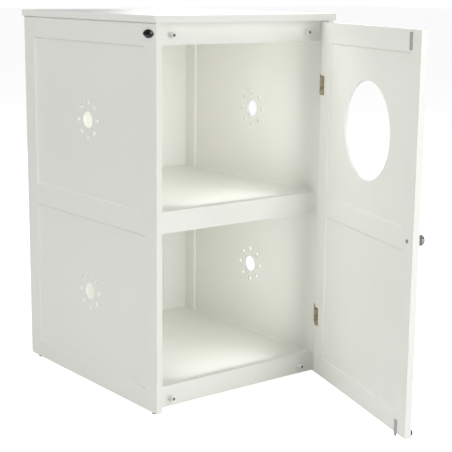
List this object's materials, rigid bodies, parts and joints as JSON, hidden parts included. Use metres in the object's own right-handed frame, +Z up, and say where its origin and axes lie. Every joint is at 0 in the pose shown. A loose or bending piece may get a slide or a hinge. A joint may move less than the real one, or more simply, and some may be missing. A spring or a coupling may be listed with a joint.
{
  "type": "two-storey cat litter cabinet",
  "caption": "White two-storey pet cabinet with framed sides, vent holes, an inner shelf and a tall hinged front door with a round entrance.",
  "frame": {"origin": "on the floor under the middle of the cabinet's footprint, with the door left out", "axes": "+Z up, the front of the cabinet faces -Y, +X towards the hinged side"},
  "size_m": [0.523, 1.0474, 0.9],
  "materials": {
    "white_board": "satin white lacquer on fibreboard",
    "hinge_metal": "aged brass plate",
    "zinc_steel": "zinc plated",
    "knob_chrome": "polished",
    "catch_plastic": "moulded white plastic",
    "magnet_steel": "dark plated magnet",
    "badge_plastic": "gloss black, blank",
    "foot_plastic": "moulded",
    "dowel_wood": "bare beech"
  },
  "bodies": {
    "cabinet": {"top_panel": "white_board", "back_panel": "white_board", "shelf_board": "white_board", "floor_board": "white_board", "front_top_rail": "white_board", "shelf_front_rail": "white_board", "front_bottom_rail": "white_board", "left_front_stile": "white_board", "left_back_stile": "white_board", "left_top_rail": "white_board", "left_mid_rail": "white_board", "left_bottom_rail": "white_board", "left_upper_panel": "white_board", "left_lower_panel": "white_board", "right_front_stile": "white_board", "right_back_stile": "white_board", "right_top_rail": "white_board", "right_mid_rail": "white_board", "right_bottom_rail": "white_board", "right_upper_panel": "white_board", "right_lower_panel": "white_board", "upper_hinge_frame_leaf": "hinge_metal", "lower_hinge_frame_leaf": "hinge_metal", "upper_hinge_pin": "hinge_metal", "lower_hinge_pin": "hinge_metal", "hinge_frame_screws": "zinc_steel", "upper_left_catch": "catch_plastic", "lower_left_catch": "catch_plastic", "upper_right_catch": "catch_plastic", "lower_right_catch": "catch_plastic", "catch_magnets": "magnet_steel", "side_badge": "badge_plastic", "front_left_foot": "foot_plastic", "front_right_foot": "foot_plastic", "back_left_foot": "foot_plastic", "back_right_foot": "foot_plastic", "left_frame_dowels": "dowel_wood", "right_frame_dowels": "dowel_wood", "front_rail_dowels": "dowel_wood", "shelf_dowels": "dowel_wood", "top_dowels": "dowel_wood", "back_panel_pins": "zinc_steel"},
    "door": {"door_hinge_stile": "white_board", "door_free_stile": "white_board", "door_top_rail": "white_board", "door_mid_rail": "white_board", "door_bottom_rail": "white_board", "door_upper_panel": "white_board", "door_lower_panel": "white_board", "upper_hinge_door_leaf": "hinge_metal", "lower_hinge_door_leaf": "hinge_metal", "hinge_door_screws": "zinc_steel", "upper_strike_plate": "zinc_steel", "lower_strike_plate": "zinc_steel", "strike_screws": "zinc_steel", "door_knob": "knob_chrome", "knob_screw": "zinc_steel", "door_badge": "badge_plastic", "door_frame_dowels": "dowel_wood"}
  },
  "joints": [
    {"name": "door_hinge", "type": "hinge", "parent": "cabinet", "child": "door", "pos_m": [0.2405, -0.295, 0], "axis": [0, 0, 1], "range_deg": [-72, 98]}
  ]
}
